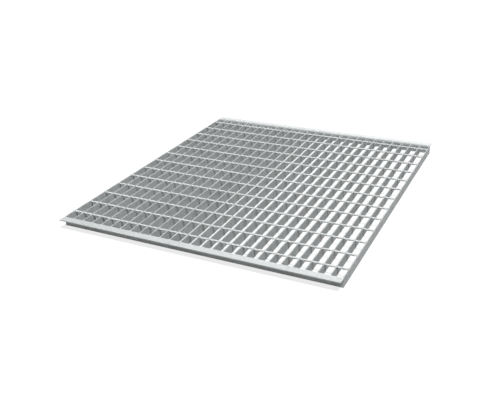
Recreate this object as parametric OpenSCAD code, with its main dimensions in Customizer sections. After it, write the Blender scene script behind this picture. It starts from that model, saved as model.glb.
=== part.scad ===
// Steel grating deck panel for a pair of rack beams.
// Flat bearing bars stand on edge from front to back. Cross rods are let into
// them just below their top edges, and a folded angle is welded across the bar
// ends at the front and at the rear. The panel drops in between two beams and
// hangs on the two flanges, which are level with the bar tops.
// X runs along the beams, Y along the bars with the front at -Y, Z up.
// The lower edges of the bars and of the angle legs lie at Z = 0.

/* [Panel] */
// Width along the beams, over the two outer bars
panel_w = 894.8; // [400:0.1:980]
// Overall depth, from the front flange's edge to the rear flange's edge
panel_d = 1050; // [500:10:1100]

/* [Bearing bars] */
// Nominal spacing of the bearing bars, centre to centre
bar_pitch = 34.3; // [34:0.1:60]
// Thickness of a bearing bar
bar_t = 3; // [2:0.5:6]
// Depth of a bearing bar, which is also the height of the whole panel
bar_h = 30; // [20:1:50]

/* [Cross rods] */
// Spacing of the cross rods, centre to centre
rod_pitch = 76.2; // [70:0.1:120]
// Width of a cross rod over its corners
rod_w = 6; // [4:0.5:8]
// Depth of a rod's top below the bar tops
rod_drop = 1; // [0.5:0.5:4]
// From the front angle's inner face to the middle of the first rod
first_rod = 47; // [15:1:70]

/* [Support angles] */
// Width of the flange that lies on the beam, over the folded corner
flange_w = 27; // [20:1:45]
// Thickness of the folded sheet
angle_t = 3; // [2:0.5:5]
// Radius inside the fold
fold_r = 2; // [1:0.5:5]

/* [Hidden] */
zinc_grey = [0.66, 0.68, 0.69];
rod_sides = 6;
round_fn = 48;
// how far round the fold the bar's lip reaches, measured from the flange
lip_angle = 30;

// the outer bars are flush with the panel's sides, and the rest share the
// width in equal bays, as near the nominal spacing as comes out whole
bay_count = round((panel_w - bar_t) / bar_pitch);
bay_w = (panel_w - bar_t) / bay_count;
// the bars span the gap between the inner faces of the two angle legs
span = panel_d - 2 * flange_w;
fold_out = fold_r + angle_t;
rod_flats = rod_w * cos(180 / rod_sides);
rod_z = bar_h - rod_drop - rod_flats / 2;
// as many rods as fit before the rear angle
rod_count = floor((span - first_rod - rod_w) / rod_pitch) + 1;
rod_y0 = -span / 2 + first_rod;
lip = fold_out * (1 - sin(lip_angle));

function bar_x(i) = (i - bay_count / 2) * bay_w;
function rod_y(i) = rod_y0 + i * rod_pitch;

// ---- support angles ----

// The fold's section, seen from the panel's end: its centre at the origin.
module fold_section() {
  intersection() {
    difference() {
      circle(r = fold_out, $fn = round_fn);
      circle(r = fold_r, $fn = round_fn);
    }
    square(fold_out);
  }
}

// Section of the folded angle. Its flange runs to the left along the top and
// its leg hangs down, with the leg's inner face on x = 0.
module angle_section() {
  union() {
    translate([-flange_w, bar_h - angle_t])
      square([flange_w - fold_out, angle_t]);
    translate([-angle_t, 0])
      square([angle_t, bar_h - fold_out]);
    translate([-fold_out, bar_h - fold_out])
      fold_section();
  }
}

// One angle across the full width, its leg's inner face on the bar ends.
module support_angle() {
  translate([-panel_w / 2, -span / 2, 0])
    rotate([90, 0, 90])
      linear_extrude(height = panel_w) angle_section();
}

module front_angle() {
  color(zinc_grey) support_angle();
}

module rear_angle() {
  color(zinc_grey) mirror([0, 1, 0]) support_angle();
}

// ---- bars and rods ----

// What the angle leaves free of a bar's end: below the fold the bar butts on
// the leg, and a lip of the bar runs over the fold, up to the flange.
module end_cope() {
  translate([-flange_w, -bar_h])
    square([flange_w, 2 * bar_h - fold_out]);
  translate([-fold_out, bar_h - fold_out])
    circle(r = fold_out, $fn = round_fn);
}

// Side view of a bearing bar, front end on the left.
module bar_side() {
  difference() {
    translate([-span / 2 - lip, 0])
      square([span + 2 * lip, bar_h]);
    translate([-span / 2, 0]) end_cope();
    translate([span / 2, 0]) mirror([1, 0]) end_cope();
  }
}

module bearing_bar() {
  translate([-bar_t / 2, 0, 0])
    rotate([90, 0, 90])
      linear_extrude(height = bar_t) bar_side();
}

// A cross rod from outer face to outer face, a flat of it turned upwards.
module cross_rod() {
  translate([-panel_w / 2, 0, rod_z])
    rotate([0, 90, 0])
      rotate([0, 0, 180 / rod_sides])
        cylinder(h = panel_w, r = rod_w / 2, $fn = rod_sides);
}

// The grid is one welded piece: every rod is fused into every bar.
module bar_grid() {
  color(zinc_grey) union() {
    for (i = [0 : bay_count])
      translate([bar_x(i), 0, 0]) bearing_bar();
    for (i = [0 : rod_count - 1])
      translate([0, rod_y(i), 0]) cross_rod();
  }
}

bar_grid();
front_angle();
rear_angle();
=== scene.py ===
import math

import bmesh
import bpy
from mathutils import Matrix, Vector


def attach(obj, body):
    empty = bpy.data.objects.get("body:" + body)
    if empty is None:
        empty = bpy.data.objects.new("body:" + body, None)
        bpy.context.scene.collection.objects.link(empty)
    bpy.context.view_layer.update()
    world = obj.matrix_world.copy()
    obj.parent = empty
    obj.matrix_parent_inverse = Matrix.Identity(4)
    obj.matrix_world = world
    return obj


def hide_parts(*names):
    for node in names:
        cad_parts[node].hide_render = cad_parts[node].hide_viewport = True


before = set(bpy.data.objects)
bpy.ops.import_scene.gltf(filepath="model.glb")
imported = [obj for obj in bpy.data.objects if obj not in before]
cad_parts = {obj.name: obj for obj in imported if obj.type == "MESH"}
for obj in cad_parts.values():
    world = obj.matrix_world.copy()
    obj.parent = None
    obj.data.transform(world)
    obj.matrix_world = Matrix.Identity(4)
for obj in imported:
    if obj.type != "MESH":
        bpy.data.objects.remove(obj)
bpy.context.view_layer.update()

# Looks of a galvanised, forge-welded grating panel.
# X runs along the beams, Y along the bars, Z up. Sizes are in metres.
MM = 0.001

# sizes that repeat the source's named values
BAY_COUNT = 26
BAY_W = 34.3 * MM
BAR_T = 3.0 * MM
BAR_H = 30.0 * MM
SPAN = 996.0 * MM
ROD_COUNT = 13
ROD_PITCH = 76.2 * MM
FIRST_ROD = 47.0 * MM
FLANGE_W = 27.0 * MM
SHEET_T = 3.0 * MM
FOLD_OUT = 5.0 * MM

BAR_COUNT = BAY_COUNT + 1
PANEL_W = BAY_COUNT * BAY_W + BAR_T
TOP = BAR_H
ROD_Y0 = FIRST_ROD - SPAN / 2

# bars: rolled corners, and ends that run a little way into the angle legs
BAR_CORNER = 0.3 * MM
BAR_INTO_LEG = 1.0 * MM

# rods: square, twisted once round in two bays, ends just proud of the bars
ROD_SIDE = 5.2 * MM
ROD_CORNER = 1.1 * MM
ROD_Z = 26.0 * MM
ROD_END_PROUD = 0.1 * MM
ROD_LEAD = 2.0 * BAY_W
ROD_STEPS_PER_BAY = 16
BAR_CORNER_STEPS, ROD_CORNER_STEPS = 3, 2

# welds: held this far inside the panel's top and sides
WELD_INSET = 0.03 * MM
WELD_CEILING = TOP - WELD_INSET
WELD_HALF_WIDTH = PANEL_W / 2 - WELD_INSET
WELD_GRAIN = 260.0

# collar of upset metal where a rod crosses a bar
COLLAR_REACH = 5.4 * MM
COLLAR_NECK = 2.2 * MM
COLLAR_GIRTH = 4.8 * MM
COLLAR_SWELL_POWER = 1.5
COLLAR_POINTS = 7
COLLAR_SIDES = 10
COLLAR_LEAST, COLLAR_MOST = 0.88, 1.12
COLLAR_UNEVEN = 0.8 * MM

# bead in each corner between a bar and a leg, and the fill over a bar's end
BEAD_RADIUS = 2.2 * MM
BEAD_FOOT = 1.0 * MM
BEAD_TOP = 23.5 * MM
BEAD_OFF_CORNER = 0.7 * MM
BEAD_POINTS = 9
BEAD_SIDES = 7
BEAD_TAPER, BEAD_TAPER_POWER = 0.8, 5.0
FILL_RADII = (2.1 * MM, 4.0 * MM, 2.6 * MM)
FILL_OUT = 1.2 * MM
FILL_DROP = 2.0 * MM
FILL_SEGMENTS, FILL_RINGS = 16, 10
END_WELD_UNEVEN = 0.7 * MM

# sheet: sheared edges and cut ends, both slightly eased
SHEARED_EDGE = 0.4 * MM
SHEARED_EDGE_STEPS, FOLD_STEPS = 3, 12
CUT_END = 0.3 * MM
CUT_END_STEPS = 2
CUT_END_TURN = 60


# ---- node helpers ----

def put(tree, kind, feed=None, **settings):
    """Adds a node, sets its properties and feeds its inputs with values or
    with the outputs of other nodes."""
    made = tree.nodes.new(kind)
    for key, value in settings.items():
        setattr(made, key, value)
    for socket, value in (feed or {}).items():
        if isinstance(value, bpy.types.NodeSocket):
            tree.links.new(value, made.inputs[socket])
        else:
            made.inputs[socket].default_value = value
    return made


def calc(tree, operation, *terms):
    """A Math node's result."""
    node = put(tree, "ShaderNodeMath", dict(enumerate(terms)), operation=operation)
    return node.outputs[0]


def place(tree, x=0.0, y=0.0, z=0.0):
    """A vector put together from three values."""
    return put(tree, "ShaderNodeCombineXYZ", {0: x, 1: y, 2: z}).outputs[0]


def spread(tree, value, low, high, to_low=0.0, to_high=1.0):
    """Stretches part of a range to another, clamped."""
    return put(tree, "ShaderNodeMapRange",
               {"Value": value, "From Min": low, "From Max": high,
                "To Min": to_low, "To Max": to_high}, clamp=True).outputs[0]


def colour_mix(tree, factor, first, second):
    """Blends two colours, each a socket or three values."""
    node = put(tree, "ShaderNodeMix", {"Factor": factor}, data_type="RGBA")
    for socket, value in ((node.inputs[6], first), (node.inputs[7], second)):
        if isinstance(value, bpy.types.NodeSocket):
            tree.links.new(value, socket)
        else:
            socket.default_value = (*value, 1.0)
    return node.outputs[2]


def start_tree(name, **inputs):
    """A geometry node tree with named inputs. Returns the tree and a lookup
    from input name to its socket inside the tree."""
    tree = bpy.data.node_groups.new(name, "GeometryNodeTree")
    for label, value in inputs.items():
        if value is None:
            kind = "NodeSocketMaterial"
        else:
            kind = "NodeSocketInt" if isinstance(value, int) else "NodeSocketFloat"
        socket = tree.interface.new_socket(label, in_out="INPUT", socket_type=kind)
        if value is not None:
            socket.default_value = value
    tree.interface.new_socket("Geometry", in_out="OUTPUT",
                              socket_type="NodeSocketGeometry")
    entry = tree.nodes.new("NodeGroupInput")
    return tree, {label: entry.outputs[label] for label in inputs}


def end_tree(tree, geometry, material):
    """Closes a tree: instances made real, the finish set, the result out."""
    real = put(tree, "GeometryNodeRealizeInstances", {0: geometry})
    done = put(tree, "GeometryNodeSetMaterial",
               {"Geometry": real.outputs[0], "Material": material})
    out = tree.nodes.new("NodeGroupOutput")
    tree.links.new(done.outputs[0], out.inputs[0])


def make_piece(name, tree, smooth_angle=None, **values):
    """Runs a tree with the given input values and keeps its result as a plain
    mesh on an object of its own."""
    shell = bpy.data.objects.new(name + "_tree", bpy.data.meshes.new(name + "_tree"))
    bpy.context.scene.collection.objects.link(shell)
    run = shell.modifiers.new("run", "NODES")
    run.node_group = tree
    for item in tree.interface.items_tree:
        if item.in_out == "INPUT" and item.name in values:
            run[item.identifier] = values[item.name]
    graph = bpy.context.evaluated_depsgraph_get()
    mesh = bpy.data.meshes.new_from_object(shell.evaluated_get(graph),
                                           depsgraph=graph)
    shell.modifiers.remove(run)
    bpy.data.objects.remove(shell)
    mesh.name = name
    if smooth_angle is None:
        mesh.shade_flat()
    else:
        mesh.shade_smooth()
        mesh.set_sharp_from_angle(angle=math.radians(smooth_angle))
    piece = bpy.data.objects.new(name, mesh)
    bpy.context.scene.collection.objects.link(piece)
    return piece


# ---- shapes ----

def row_of_points(tree, count, pitch, middle=0.0, y=0.0, z=0.0):
    """Points in a row along X, centred on `middle`."""
    half = calc(tree, "MULTIPLY", calc(tree, "SUBTRACT", count, 1.0), 0.5)
    first = calc(tree, "SUBTRACT", middle, calc(tree, "MULTIPLY", half, pitch))
    return put(tree, "GeometryNodeMeshLine",
               {"Count": count, "Start Location": place(tree, first, y, z),
                "Offset": place(tree, pitch)}).outputs[0]


def rod_points(tree, value):
    """Points in a column along Y, one at the middle of every rod."""
    return put(tree, "GeometryNodeMeshLine",
               {"Count": value["Rod count"],
                "Start Location": place(tree, 0.0, value["First rod"],
                                        value["Rod height"]),
                "Offset": place(tree, 0.0, value["Rod pitch"])}).outputs[0]


def crossing_points(tree, value):
    """A point at every crossing of a bar and a rod."""
    row = row_of_points(tree, value["Bar count"], value["Bay width"])
    field = put(tree, "GeometryNodeInstanceOnPoints",
                {"Points": rod_points(tree, value), "Instance": row}).outputs[0]
    return put(tree, "GeometryNodeRealizeInstances", {0: field}).outputs[0]


def line_along_x(tree, half_length):
    """A straight line along X, centred on the origin."""
    return put(tree, "GeometryNodeCurvePrimitiveLine",
               {"Start": place(tree, calc(tree, "MULTIPLY", half_length, -1.0)),
                "End": place(tree, half_length)}).outputs[0]


def distance_from_middle(tree):
    """Along a curve: 0 at its middle, 1 at either end."""
    along = tree.nodes.new("GeometryNodeSplineParameter").outputs["Factor"]
    return calc(tree, "ABSOLUTE", calc(
        tree, "SUBTRACT", calc(tree, "MULTIPLY", along, 2.0), 1.0))


def rounded_section(tree, width, height, radius, steps):
    """A rectangle with rounded corners, for a bar or a rod."""
    outline = put(tree, "GeometryNodeCurvePrimitiveQuadrilateral",
                  {"Width": width, "Height": height}).outputs[0]
    return put(tree, "GeometryNodeFilletCurve",
               {"Curve": outline, "Count": steps, "Radius": radius,
                "Limit Radius": True}, mode="POLY").outputs[0]


def bearing_bar_tree():
    """Flat bars on edge with rolled corners, side by side."""
    tree, value = start_tree(
        "bearing_bars", **{"Bar count": 2, "Bay width": 0.03, "Thickness": 0.003,
                           "Depth": 0.03, "Run": 1.0, "Corner radius": 0.0004,
                           "Finish": None})
    middle = calc(tree, "MULTIPLY", value["Depth"], 0.5)
    end = calc(tree, "MULTIPLY", value["Run"], 0.5)
    line = put(tree, "GeometryNodeCurvePrimitiveLine",
               {"Start": place(tree, 0.0, calc(tree, "MULTIPLY", end, -1.0), middle),
                "End": place(tree, 0.0, end, middle)}).outputs[0]
    section = rounded_section(tree, value["Thickness"], value["Depth"],
                              value["Corner radius"], BAR_CORNER_STEPS)
    bar = put(tree, "GeometryNodeCurveToMesh",
              {"Curve": line, "Profile Curve": section, "Fill Caps": True}).outputs[0]
    row = row_of_points(tree, value["Bar count"], value["Bay width"])
    bars = put(tree, "GeometryNodeInstanceOnPoints",
               {"Points": row, "Instance": bar}).outputs[0]
    end_tree(tree, bars, value["Finish"])
    return tree


def cross_rod_tree():
    """Twisted square rods from outer bar to outer bar."""
    tree, value = start_tree(
        "cross_rods", **{"Rod count": 2, "Rod pitch": 0.07, "First rod": 0.0,
                         "Rod height": 0.02, "Side": 0.005, "Corner radius": 0.001,
                         "Length": 1.0, "Lead": 0.07, "Steps": 100, "Finish": None})
    line = line_along_x(tree, calc(tree, "MULTIPLY", value["Length"], 0.5))
    fine = put(tree, "GeometryNodeResampleCurve",
               {"Curve": line, "Count": value["Steps"]}).outputs[0]
    along = tree.nodes.new("GeometryNodeSplineParameter").outputs["Length"]
    turns = calc(tree, "DIVIDE", along, value["Lead"])
    twist = put(tree, "GeometryNodeSetCurveTilt",
                {"Curve": fine,
                 "Tilt": calc(tree, "MULTIPLY", turns, math.tau)}).outputs[0]
    section = rounded_section(tree, value["Side"], value["Side"],
                              value["Corner radius"], ROD_CORNER_STEPS)
    rod = put(tree, "GeometryNodeCurveToMesh",
              {"Curve": twist, "Profile Curve": section,
               "Fill Caps": True}).outputs[0]
    rods = put(tree, "GeometryNodeInstanceOnPoints",
               {"Points": rod_points(tree, value), "Instance": rod}).outputs[0]
    end_tree(tree, rods, value["Finish"])
    return tree


def roughen(tree, geometry, uneven, ceiling, half_width):
    """Pushes a weld's surface in and out unevenly and holds it inside the
    panel: under a ceiling, as rollers press hot metal level, and between its
    sides."""
    before = tree.nodes.new("GeometryNodeInputPosition").outputs[0]
    noise = put(tree, "ShaderNodeTexNoise",
                {"Vector": before, "Scale": WELD_GRAIN, "Detail": 2.0})
    centred = put(tree, "ShaderNodeVectorMath",
                  {0: noise.outputs["Color"], 1: (0.5, 0.5, 0.5)},
                  operation="SUBTRACT").outputs[0]
    push = put(tree, "ShaderNodeVectorMath", {0: centred, "Scale": uneven},
               operation="SCALE").outputs[0]
    moved = put(tree, "GeometryNodeSetPosition",
                {"Geometry": geometry, "Offset": push}).outputs[0]
    after = put(tree, "ShaderNodeSeparateXYZ",
                {0: tree.nodes.new("GeometryNodeInputPosition").outputs[0]})
    across = calc(tree, "MAXIMUM", calc(tree, "MULTIPLY", half_width, -1.0),
                  calc(tree, "MINIMUM", after.outputs[0], half_width))
    held = place(tree, across, after.outputs[1],
                 calc(tree, "MINIMUM", after.outputs[2], ceiling))
    return put(tree, "GeometryNodeSetPosition",
               {"Geometry": moved, "Position": held}).outputs[0]


def crossing_weld_tree():
    """The collar of upset metal where a rod was pressed, hot, through a bar:
    widest against the bar, fading along the rod, levelled at the bar tops."""
    tree, value = start_tree(
        "crossing_welds", **{"Bar count": 2, "Bay width": 0.03, "Rod count": 2,
                             "Rod pitch": 0.07, "First rod": 0.0,
                             "Rod height": 0.02, "Reach": 0.005, "Neck": 0.003,
                             "Girth": 0.005, "Ceiling": 0.03, "Half width": 1.0,
                             "Uneven": 0.001, "Seed": 1, "Finish": None})
    spots = crossing_points(tree, value)
    fine = put(tree, "GeometryNodeResampleCurve",
               {"Curve": line_along_x(tree, value["Reach"]),
                "Count": COLLAR_POINTS}).outputs[0]
    near_bar = calc(tree, "SUBTRACT", 1.0, distance_from_middle(tree))
    swell = calc(tree, "MULTIPLY",
                 calc(tree, "SUBTRACT", value["Girth"], value["Neck"]),
                 calc(tree, "POWER", near_bar, COLLAR_SWELL_POWER))
    ring = put(tree, "GeometryNodeCurvePrimitiveCircle",
               {"Resolution": COLLAR_SIDES, "Radius": 1.0}).outputs[0]
    collar = put(tree, "GeometryNodeCurveToMesh",
                 {"Curve": fine, "Profile Curve": ring,
                  "Scale": calc(tree, "ADD", value["Neck"], swell),
                  "Fill Caps": True}).outputs[0]
    size = put(tree, "FunctionNodeRandomValue",
               {"Min": COLLAR_LEAST, "Max": COLLAR_MOST, "Seed": value["Seed"]},
               data_type="FLOAT").outputs[1]
    collars = put(tree, "GeometryNodeInstanceOnPoints",
                  {"Points": spots, "Instance": collar,
                   "Scale": place(tree, size, size, size)}).outputs[0]
    real = put(tree, "GeometryNodeRealizeInstances", {0: collars}).outputs[0]
    shaped = roughen(tree, real, value["Uneven"], value["Ceiling"],
                     value["Half width"])
    end_tree(tree, shaped, value["Finish"])
    return tree


def end_weld_tree():
    """Fillet beads up both sides of every bar end, stopping short of the fold,
    and a narrow fill that closes the groove from the bar's top to the flange."""
    tree, value = start_tree(
        "end_welds", **{"Bar count": 2, "Bay width": 0.03, "Bar thickness": 0.003,
                        "Half span": 0.5, "Side": 1.0, "Bead radius": 0.002,
                        "Bead foot": 0.001, "Bead top": 0.02, "Ceiling": 0.03,
                        "Half width": 1.0, "Uneven": 0.001, "Finish": None})
    wall = calc(tree, "MULTIPLY", value["Half span"], value["Side"])
    bead_line = put(tree, "GeometryNodeCurvePrimitiveLine",
                    {"Start": place(tree, 0.0, 0.0, value["Bead foot"]),
                     "End": place(tree, 0.0, 0.0, value["Bead top"])}).outputs[0]
    fine = put(tree, "GeometryNodeResampleCurve",
               {"Curve": bead_line, "Count": BEAD_POINTS}).outputs[0]
    ring = put(tree, "GeometryNodeCurvePrimitiveCircle",
               {"Resolution": BEAD_SIDES, "Radius": value["Bead radius"]}).outputs[0]
    narrowing = calc(tree, "POWER", distance_from_middle(tree), BEAD_TAPER_POWER)
    taper = calc(tree, "SUBTRACT", 1.0,
                 calc(tree, "MULTIPLY", narrowing, BEAD_TAPER))
    bead = put(tree, "GeometryNodeCurveToMesh",
               {"Curve": fine, "Profile Curve": ring, "Scale": taper,
                "Fill Caps": True}).outputs[0]
    parts = []
    # a bead stands in every bay corner, so a row is one bay shorter
    count = calc(tree, "SUBTRACT", value["Bar count"], 1.0)
    off_bar = calc(tree, "ADD", calc(tree, "MULTIPLY", value["Bar thickness"], 0.5),
                   BEAD_OFF_CORNER)
    half_bay = calc(tree, "MULTIPLY", value["Bay width"], 0.5)
    off_wall = calc(tree, "MULTIPLY", value["Side"], -BEAD_OFF_CORNER)
    for turn in (-1.0, 1.0):
        shift = calc(tree, "MULTIPLY",
                     calc(tree, "SUBTRACT", half_bay, off_bar), turn)
        row = row_of_points(tree, count, value["Bay width"], shift,
                            calc(tree, "ADD", wall, off_wall))
        parts.append(put(tree, "GeometryNodeInstanceOnPoints",
                         {"Points": row, "Instance": bead}).outputs[0])
    fill = put(tree, "GeometryNodeMeshUVSphere",
               {"Segments": FILL_SEGMENTS, "Rings": FILL_RINGS,
                "Radius": 1.0}).outputs[0]
    over_fold = calc(tree, "MULTIPLY", value["Side"], FILL_OUT)
    row = row_of_points(tree, value["Bar count"], value["Bay width"], 0.0,
                        calc(tree, "ADD", wall, over_fold),
                        calc(tree, "SUBTRACT", value["Ceiling"], FILL_DROP))
    parts.append(put(tree, "GeometryNodeInstanceOnPoints",
                     {"Points": row, "Instance": fill,
                      "Scale": FILL_RADII}).outputs[0])
    joined = tree.nodes.new("GeometryNodeJoinGeometry")
    for part in parts:
        tree.links.new(part, joined.inputs[0])
    real = put(tree, "GeometryNodeRealizeInstances",
               {0: joined.outputs[0]}).outputs[0]
    shaped = roughen(tree, real, value["Uneven"], value["Ceiling"],
                     value["Half width"])
    end_tree(tree, shaped, value["Finish"])
    return tree


def arc(centre, radius, start, stop, steps):
    """Points round part of a circle, angles in degrees."""
    turn = (math.radians(start + (stop - start) * i / steps) for i in range(steps + 1))
    return [(centre[0] + radius * math.cos(a), centre[1] + radius * math.sin(a))
            for a in turn]


def angle_outline():
    """Section of the folded support angle: distance out from the bar ends,
    and height. Sheared edges are slightly rounded."""
    soft, few = SHEARED_EDGE, SHEARED_EDGE_STEPS
    fold = (FOLD_OUT, TOP - FOLD_OUT)
    outline = arc((soft, soft), soft, 270, 180, few)
    outline += arc(fold, FOLD_OUT, 180, 90, FOLD_STEPS)
    outline += arc((FLANGE_W - soft, TOP - soft), soft, 90, 0, few)
    outline += arc((FLANGE_W - soft, TOP - SHEET_T + soft), soft, 0, -90, few)
    outline += arc(fold, FOLD_OUT - SHEET_T, 90, 180, FOLD_STEPS // 2)
    outline += arc((SHEET_T - soft, soft), soft, 0, -90, few)
    return outline


def make_folded_angle(name, side, finish):
    """The support angle at the front (side -1) or the rear (side +1)."""
    section = [(side * (SPAN / 2 + out), height) for out, height in angle_outline()]
    ends = (-PANEL_W / 2, PANEL_W / 2)
    points = [(x, y, z) for x in ends for y, z in section]
    n = len(section)
    faces = [(i, (i + 1) % n, n + (i + 1) % n, n + i) for i in range(n)]
    faces += [tuple(range(n)), tuple(range(2 * n - 1, n - 1, -1))]
    mesh = bpy.data.meshes.new(name)
    mesh.from_pydata(points, [], faces)
    work = bmesh.new()
    work.from_mesh(mesh)
    bmesh.ops.recalc_face_normals(work, faces=work.faces)
    work.to_mesh(mesh)
    work.free()
    mesh.materials.append(finish)
    mesh.shade_smooth()
    piece = bpy.data.objects.new(name, mesh)
    bpy.context.scene.collection.objects.link(piece)
    ease = piece.modifiers.new("ease the cut ends", "BEVEL")
    ease.width, ease.segments = CUT_END, CUT_END_STEPS
    ease.limit_method, ease.angle_limit = "ANGLE", math.radians(CUT_END_TURN)
    ease.harden_normals = False
    flat = piece.modifiers.new("keep the flats flat", "WEIGHTED_NORMAL")
    flat.weight = 100
    return piece


# ---- finishes ----

# spangle: how finely the crystal edges wander, how far, and the feathering
WANDER_SCALE, WANDER = 260.0, 0.004
FEATHER_SCALE = 900.0
FEATHER_IN_HEIGHT = 0.65

# bloom: small patches against broad ones, and where each kind starts and is full
SMALL_PATCH_SCALE, SMALL_PATCH_SHARE = 9.0, 0.3
PALE_START, PALE_FULL = 0.42, 0.66
DARK_START, DARK_FULL = 0.27, 0.42

# how much of each patch shows, and how light or dark it is against the base
PALE_SHARE, PALE_TINT = 0.35, 1.1
DARK_SHARE, DARK_TINT = 0.4, 0.72
GLOSS_FROM, GLOSS_TO = 0.2, 1.6
BUMP_STRENGTH = 0.6

# band below the bar tops over which painted shade darkens them
TOP_SHADE_START = TOP - 0.25 * MM
TOP_SHADE_FULL = TOP - 0.05 * MM


def start_effect(name, inputs, outputs):
    """A shader node group with named inputs and outputs."""
    group = bpy.data.node_groups.new(name, "ShaderNodeTree")
    for label, value in inputs.items():
        kind = "NodeSocketVector" if value is None else "NodeSocketFloat"
        socket = group.interface.new_socket(label, in_out="INPUT", socket_type=kind)
        if value is not None:
            socket.default_value = value
    for label in outputs:
        group.interface.new_socket(label, in_out="OUTPUT",
                                   socket_type="NodeSocketFloat")
    entry = group.nodes.new("NodeGroupInput")
    return group, {label: entry.outputs[label] for label in inputs}


def end_effect(group, **results):
    """Closes a group, each result out under its name."""
    out = group.nodes.new("NodeGroupOutput")
    for label, socket in results.items():
        group.links.new(socket, out.inputs[label])
    return group


def noise(tree, where, scale, detail=3.0, roughness=0.55):
    """A noise texture's value."""
    return put(tree, "ShaderNodeTexNoise",
               {"Vector": where, "Scale": scale, "Detail": detail,
                "Roughness": roughness}).outputs["Fac"]


def spangle_effect():
    """Zinc crystals: cells of slightly different tone and gloss, with finer
    feathering inside them."""
    group, value = start_effect(
        "zinc_spangle", {"Place": None, "Grain": 150.0, "Feather": 0.35},
        ("Tone", "Height"))
    bend = put(group, "ShaderNodeTexNoise",
               {"Vector": value["Place"], "Scale": WANDER_SCALE, "Detail": 2.0})
    off = put(group, "ShaderNodeVectorMath",
              {0: bend.outputs["Color"], "Scale": WANDER},
              operation="SCALE").outputs[0]
    where = put(group, "ShaderNodeVectorMath",
                {0: value["Place"], 1: off}, operation="ADD").outputs[0]
    cells = put(group, "ShaderNodeTexVoronoi",
                {"Vector": where, "Scale": value["Grain"]}, feature="F1")
    tone = put(group, "ShaderNodeSeparateColor",
               {0: cells.outputs["Color"]}).outputs[0]
    feather = noise(group, value["Place"], FEATHER_SCALE, detail=4.0,
                    roughness=0.6)
    mixed = put(group, "ShaderNodeMix",
                {"Factor": value["Feather"], "A": tone, "B": feather},
                data_type="FLOAT").outputs[0]
    height = calc(group, "ADD",
                  calc(group, "MULTIPLY", mixed, 1.0 - FEATHER_IN_HEIGHT),
                  calc(group, "MULTIPLY", feather, FEATHER_IN_HEIGHT))
    return end_effect(group, Tone=mixed, Height=height)


def bloom_effect():
    """Dull white zinc bloom and darker bare patches, a few centimetres
    across, with runs drawn out along the bars."""
    group, value = start_effect(
        "zinc_bloom", {"Place": None, "Size": 14.0, "Draw": 0.35}, ("Pale", "Dark"))
    stretch = put(group, "ShaderNodeVectorMath",
                  {0: value["Place"], 1: place(group, 1.0, value["Draw"], 1.0)},
                  operation="MULTIPLY").outputs[0]
    broad = noise(group, stretch, value["Size"], detail=4.0, roughness=0.6)
    small = noise(group, stretch,
                  calc(group, "MULTIPLY", value["Size"], SMALL_PATCH_SCALE))
    both = calc(group, "ADD",
                calc(group, "MULTIPLY", broad, 1.0 - SMALL_PATCH_SHARE),
                calc(group, "MULTIPLY", small, SMALL_PATCH_SHARE))
    pale = spread(group, both, PALE_START, PALE_FULL)
    thin = calc(group, "MULTIPLY", calc(group, "SUBTRACT", 1.0, broad), small)
    dark = spread(group, thin, DARK_START, DARK_FULL)
    return end_effect(group, Pale=pale, Dark=dark)


def zinc(name, effects, base, grain, contrast, relief, metal=0.22,
         rough=(0.54, 0.66), painted_top_shade=0.0):
    """A galvanised finish: base colour, crystal size and contrast, how proud
    the crystals stand, and how much painted shade darkens the level top faces."""
    spangle, bloom = effects
    finish = bpy.data.materials.new(name)
    finish.use_nodes = True
    tree = finish.node_tree
    tree.nodes.clear()
    where = tree.nodes.new("ShaderNodeTexCoord").outputs["Object"]
    crystals = put(tree, "ShaderNodeGroup", node_tree=spangle)
    patches = put(tree, "ShaderNodeGroup", node_tree=bloom)
    for node in (crystals, patches):
        tree.links.new(where, node.inputs["Place"])
    crystals.inputs["Grain"].default_value = grain
    deep, light, pale, dark = (
        tuple(min(1.0, c * tint) for c in base)
        for tint in (1.0 - contrast, 1.0 + contrast, PALE_TINT, DARK_TINT))
    body = colour_mix(tree, crystals.outputs["Tone"], deep, light)
    pale_here = calc(tree, "MULTIPLY", patches.outputs["Pale"], PALE_SHARE)
    body = colour_mix(tree, pale_here, body, pale)
    dark_here = calc(tree, "MULTIPLY", patches.outputs["Dark"], DARK_SHARE)
    body = colour_mix(tree, dark_here, body, dark)
    # painted shade: the level top faces are blended towards black so they read less
    # bright under the lamp
    if painted_top_shade:
        height = put(tree, "ShaderNodeSeparateXYZ", {0: where}).outputs[2]
        top_shade_mask = spread(tree, height, TOP_SHADE_START, TOP_SHADE_FULL, 0.0, painted_top_shade)
        body = colour_mix(tree, top_shade_mask, body, (0.0, 0.0, 0.0))
    gloss = spread(tree, calc(tree, "ADD", crystals.outputs["Tone"],
                              patches.outputs["Pale"]), GLOSS_FROM, GLOSS_TO, *rough)
    bump = put(tree, "ShaderNodeBump",
               {"Strength": BUMP_STRENGTH, "Distance": relief,
                "Height": crystals.outputs["Height"]})
    shader = put(tree, "ShaderNodeBsdfPrincipled",
                 {"Base Color": body, "Metallic": metal, "Roughness": gloss,
                  "Normal": bump.outputs[0]})
    out = tree.nodes.new("ShaderNodeOutputMaterial")
    tree.links.new(shader.outputs[0], out.inputs[0])
    return finish


# ---- the panel ----

BAR_COLOUR = (0.475, 0.496, 0.496)
ROD_COLOUR = (0.548, 0.571, 0.571)
SHEET_COLOUR = (0.562, 0.586, 0.586)

effects = (spangle_effect(), bloom_effect())
# the bars' finish carries painted shade on their level top faces
bar_zinc = zinc("zinc_on_bars", effects, BAR_COLOUR, grain=140.0, contrast=0.20,
                relief=0.12 * MM, painted_top_shade=0.17)
rod_zinc = zinc("zinc_on_rods", effects, ROD_COLOUR, grain=260.0, contrast=0.12,
                relief=0.10 * MM)
sheet_zinc = zinc("zinc_on_sheet", effects, SHEET_COLOUR, grain=110.0,
                  contrast=0.08, relief=0.08 * MM, metal=0.45, rough=(0.40, 0.50))
weld_zinc = zinc("zinc_on_welds", effects, BAR_COLOUR, grain=420.0,
                 contrast=0.10, relief=0.25 * MM)

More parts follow.
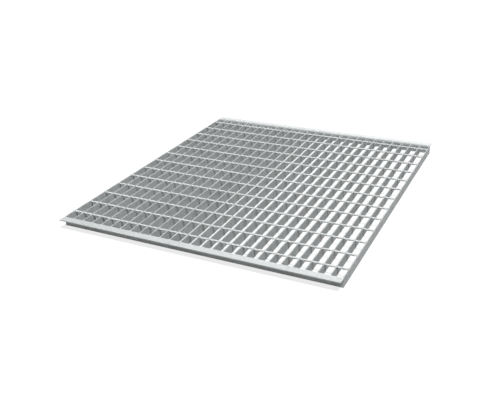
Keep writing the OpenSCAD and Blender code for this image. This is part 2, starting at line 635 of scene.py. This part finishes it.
bars = make_piece(
    "bearing_bars", bearing_bar_tree(),
    **{"Bar count": BAR_COUNT, "Bay width": BAY_W,
       "Thickness": BAR_T - 2.0 * ROD_END_PROUD, "Depth": BAR_H,
       "Run": SPAN + 2.0 * BAR_INTO_LEG, "Corner radius": BAR_CORNER,
       "Finish": bar_zinc})
rods = make_piece(
    "cross_rods", cross_rod_tree(), smooth_angle=50,
    **{"Rod count": ROD_COUNT, "Rod pitch": ROD_PITCH, "First rod": ROD_Y0,
       "Rod height": ROD_Z, "Side": ROD_SIDE, "Corner radius": ROD_CORNER,
       "Length": PANEL_W, "Lead": ROD_LEAD,
       "Steps": ROD_STEPS_PER_BAY * BAY_COUNT + 1, "Finish": rod_zinc})
crossings = make_piece(
    "crossing_welds", crossing_weld_tree(), smooth_angle=90,
    **{"Bar count": BAR_COUNT, "Bay width": BAY_W, "Rod count": ROD_COUNT,
       "Rod pitch": ROD_PITCH, "First rod": ROD_Y0, "Rod height": ROD_Z,
       "Reach": COLLAR_REACH, "Neck": COLLAR_NECK, "Girth": COLLAR_GIRTH,
       "Ceiling": WELD_CEILING, "Half width": WELD_HALF_WIDTH,
       "Uneven": COLLAR_UNEVEN, "Seed": 7, "Finish": weld_zinc})
end_welds = end_weld_tree()
front_welds, rear_welds = (
    make_piece(name, end_welds, smooth_angle=75,
               **{"Bar count": BAR_COUNT, "Bay width": BAY_W,
                  "Bar thickness": BAR_T, "Half span": SPAN / 2, "Side": side,
                  "Bead radius": BEAD_RADIUS, "Bead foot": BEAD_FOOT,
                  "Bead top": BEAD_TOP, "Ceiling": WELD_CEILING,
                  "Half width": WELD_HALF_WIDTH, "Uneven": END_WELD_UNEVEN,
                  "Finish": weld_zinc})
    for name, side in (("front_end_welds", -1.0), ("rear_end_welds", 1.0)))
front = make_folded_angle("front_folded_angle", -1, sheet_zinc)
rear = make_folded_angle("rear_folded_angle", 1, sheet_zinc)

for piece in (bars, rods, crossings, front_welds, rear_welds, front, rear):
    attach(piece, "root")
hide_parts("bar_grid")
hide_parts("front_angle")
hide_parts("rear_angle")

# ---- studio ----

WHITE = (1.0, 1.0, 1.0, 1.0)
FLOOR_DROP = 0.5 * MM
FLOOR_HALF_WIDTH, FLOOR_FRONT, FLOOR_BACK = 12, -8, 16
FLOOR_ROUGH = 0.9
# grey that throws light up at the panel, grey that is seen, and a glow that is
# seen but lights nothing
FLOOR_BOUNCE, FLOOR_SEEN, FLOOR_GLOW = 0.165, 0.14, 0.78

floor_mesh = bpy.data.meshes.new("studio_floor")
floor_mesh.from_pydata(
    [(-FLOOR_HALF_WIDTH, FLOOR_FRONT, 0), (FLOOR_HALF_WIDTH, FLOOR_FRONT, 0),
     (FLOOR_HALF_WIDTH, FLOOR_BACK, 0), (-FLOOR_HALF_WIDTH, FLOOR_BACK, 0)],
    [], [(0, 1, 2, 3)])
floor = bpy.data.objects.new("studio_floor", floor_mesh)
bpy.context.scene.collection.objects.link(floor)
floor.location.z = -FLOOR_DROP
paper = bpy.data.materials.new("white_paper")
paper.use_nodes = True
table = paper.node_tree
matt = table.nodes["Principled BSDF"]
matt.inputs["Roughness"].default_value = FLOOR_ROUGH
looked_at = table.nodes.new("ShaderNodeLightPath").outputs["Is Camera Ray"]
table.links.new(colour_mix(table, looked_at, (FLOOR_BOUNCE,) * 3, (FLOOR_SEEN,) * 3),
                matt.inputs["Base Color"])
glow = put(table, "ShaderNodeEmission", {"Strength": FLOOR_GLOW})
both = put(table, "ShaderNodeAddShader", {0: matt.outputs[0], 1: glow.outputs[0]})
watched = put(table, "ShaderNodeMixShader",
              {0: looked_at, 1: matt.outputs[0], 2: both.outputs[0]})
table.links.new(watched.outputs[0], table.nodes["Material Output"].inputs[0])
floor_mesh.materials.append(paper)

# Soft walls of light stand behind and in front of the panel, and fade out by
# half way up. Where each starts and is full is given as the part of a direction
# that points along Y, and for their tops as the part that points up.
WALL_BEHIND_START, WALL_BEHIND_FULL = 0.6, 0.94
WALL_BEHIND_LEAST, WALL_BEHIND_MOST = 0.05, 1.95
WALL_AHEAD_START, WALL_AHEAD_FULL, WALL_AHEAD_MOST = -0.5, -0.9, 1.1
WALL_TOP_START, WALL_TOP_END = 0.45, 0.75
EVERYWHERE = 0.015

world = bpy.data.worlds.new("studio")
bpy.context.scene.world = world
world.use_nodes = True
sky = world.node_tree
lit = sky.nodes["Background"]
lit.inputs["Color"].default_value = WHITE
toward = put(sky, "ShaderNodeSeparateXYZ",
             {0: sky.nodes.new("ShaderNodeTexCoord").outputs["Generated"]})
behind = spread(sky, toward.outputs[1], WALL_BEHIND_START, WALL_BEHIND_FULL,
                WALL_BEHIND_LEAST, WALL_BEHIND_MOST)
ahead = spread(sky, toward.outputs[1], WALL_AHEAD_FULL, WALL_AHEAD_START,
               WALL_AHEAD_MOST, 0.0)
low = spread(sky, toward.outputs[2], WALL_TOP_START, WALL_TOP_END, 1.0, 0.0)
walls = calc(sky, "MULTIPLY", calc(sky, "ADD", behind, ahead), low)
sky.links.new(calc(sky, "ADD", walls, EVERYWHERE), lit.inputs["Strength"])
seen = put(sky, "ShaderNodeBackground", {"Color": WHITE, "Strength": 1.0})
ray = sky.nodes.new("ShaderNodeLightPath")
mixed = put(sky, "ShaderNodeMixShader",
            {0: ray.outputs["Is Camera Ray"], 1: lit.outputs[0],
             2: seen.outputs[0]})
sky.links.new(mixed.outputs[0], sky.nodes["World Output"].inputs[0])

# One lamp far off, a little to the right and to the front of straight overhead.
# It lights without leaving a hot spot of its own, as a diffused lamp does.
LAMP_TOWARD = (0.288, -0.17, 1.0)
LAMP_STRENGTH = 5.85
LAMP_SOFTNESS = 3.0  # degrees

lamp = bpy.data.lights.new("overhead_softbox", "SUN")
lamp.energy, lamp.angle = LAMP_STRENGTH, math.radians(LAMP_SOFTNESS)
lamp_holder = bpy.data.objects.new("overhead_softbox", lamp)
lamp_holder.rotation_mode = "QUATERNION"
lamp_holder.rotation_quaternion = Vector(LAMP_TOWARD).to_track_quat("Z", "Y")
lamp_holder.visible_glossy = False
bpy.context.scene.collection.objects.link(lamp_holder)

# ---- camera: to the right of the front edge, looking down on the panel ----

EYE = Vector((0.8770, -1.8635, 0.9269))
AIM = Vector((0.0003, -0.1238, 0.0))
ROLL = -1.94  # degrees
FILM_WIDTH, FOCAL_LENGTH = 36.0, 47.476  # millimetres

lens = bpy.data.cameras.new("camera")
lens.sensor_width, lens.lens = FILM_WIDTH, FOCAL_LENGTH
camera = bpy.data.objects.new("camera", lens)
facing = (AIM - EYE).to_track_quat("-Z", "Y").to_matrix()
camera.matrix_world = Matrix.Translation(EYE) @ (
    facing @ Matrix.Rotation(math.radians(ROLL), 3, "Z")).to_4x4()
bpy.context.scene.collection.objects.link(camera)
bpy.context.scene.camera = camera
bpy.context.scene.view_settings.view_transform = "Standard"
